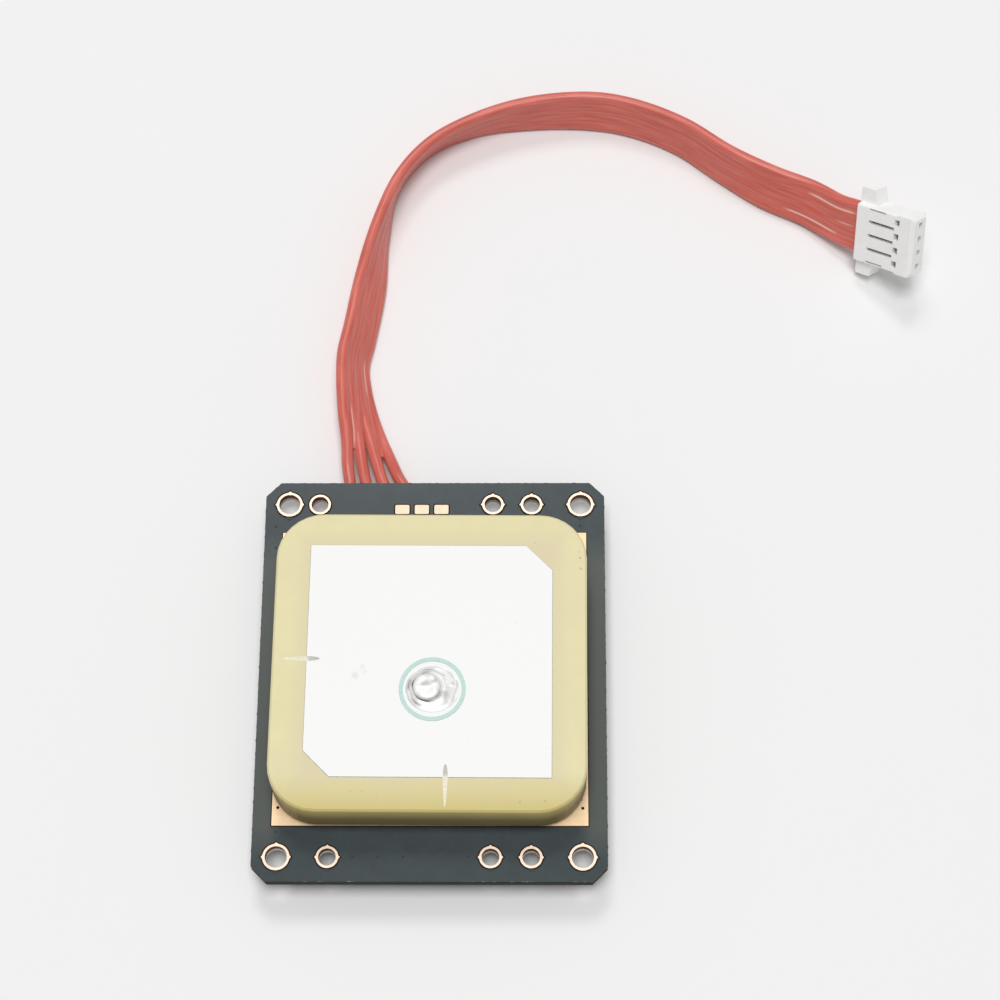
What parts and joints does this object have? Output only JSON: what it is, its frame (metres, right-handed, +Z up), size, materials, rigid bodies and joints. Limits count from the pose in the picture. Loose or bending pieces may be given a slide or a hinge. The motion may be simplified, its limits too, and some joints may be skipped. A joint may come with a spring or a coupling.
{
  "type": "gps module",
  "caption": "Satellite positioning receiver on a small circuit board, with a square ceramic patch antenna on top, a shield can below and a ribbon lead with a crimp plug.",
  "frame": {"origin": "centre of the board's outline, at the height of the shield can's outer face, which is the table", "axes": "+Z up through the board to the antenna, +Y along the board's long side towards the edge that the lead leaves over, +X to the right seen from above"},
  "size_m": [0.0555, 0.0719, 0.0084],
  "materials": {
    "board_mask": "satin dark solder mask over glass-epoxy laminate",
    "gold_plating": "thin gold plating on copper, satin",
    "antenna_ceramic": "fired, ground ceramic, matt, pale yellow",
    "silver_print": "fired silver print, matt white-grey",
    "resist": "thin printed green resist",
    "solder": "bright tin solder, smooth",
    "tinned_sheet": "tin-plated steel sheet, satin",
    "black_epoxy": "moulded black epoxy, matt",
    "clear_epoxy": "clear lens on a white base",
    "chip_ceramic": "brown chip ceramic, satin",
    "cell_steel": "nickel-plated steel, satin",
    "adhesive": "double-sided foam tape",
    "wire_insulation": "soft red insulation, half gloss",
    "plug_plastic": "white polyamide, slightly translucent",
    "contact_metal": "tin-plated phosphor bronze"
  },
  "bodies": {
    "root": {"adhesive_pad": "adhesive", "antenna_amplifier": "black_epoxy", "antenna_ceramic": "antenna_ceramic", "antenna_filter": "tinned_sheet", "antenna_land": "gold_plating", "backup_cell": "cell_steel", "backup_cell_board_tab": "tinned_sheet", "backup_cell_outer_tab": "tinned_sheet", "chip_capacitor_1": "chip_ceramic", "chip_capacitor_2": "chip_ceramic", "chip_capacitor_3": "chip_ceramic", "chip_capacitor_4": "chip_ceramic", "circuit_board": "board_mask", "clock_crystal": "tinned_sheet", "corner_hole_plating_back_left": "gold_plating", "corner_hole_plating_back_right": "gold_plating", "corner_hole_plating_front_left": "gold_plating", "corner_hole_plating_front_right": "gold_plating", "feed_pin": "solder", "feed_pin_back_joint": "solder", "feed_solder": "solder", "ground_electrode": "silver_print", "lead_wire_1": "wire_insulation", "lead_wire_2": "wire_insulation", "lead_wire_3": "wire_insulation", "lead_wire_4": "wire_insulation", "led_resistor": "black_epoxy", "matching_inductor": "chip_ceramic", "patch_electrode": "silver_print", "plug_contact_1": "contact_metal", "plug_contact_2": "contact_metal", "plug_contact_3": "contact_metal", "plug_contact_4": "contact_metal", "plug_housing": "plug_plastic", "receiver_chip": "black_epoxy", "reference_oscillator": "tinned_sheet", "series_resistor_1": "black_epoxy", "series_resistor_2": "black_epoxy", "shield_can": "tinned_sheet", "small_hole_plating_back_1": "gold_plating", "small_hole_plating_back_2": "gold_plating", "small_hole_plating_back_3": "gold_plating", "small_hole_plating_front_1": "gold_plating", "small_hole_plating_front_2": "gold_plating", "small_hole_plating_front_3": "gold_plating", "solder_stop_ring": "resist", "status_led": "clear_epoxy", "supply_capacitor_1": "chip_ceramic", "supply_capacitor_2": "chip_ceramic", "voltage_regulator": "black_epoxy", "wire_joint_1": "solder", "wire_joint_2": "solder", "wire_joint_3": "solder", "wire_joint_4": "solder", "wire_pad_1": "gold_plating", "wire_pad_2": "gold_plating", "wire_pad_3": "gold_plating", "wire_pad_4": "gold_plating"}
  },
  "joints": []
}
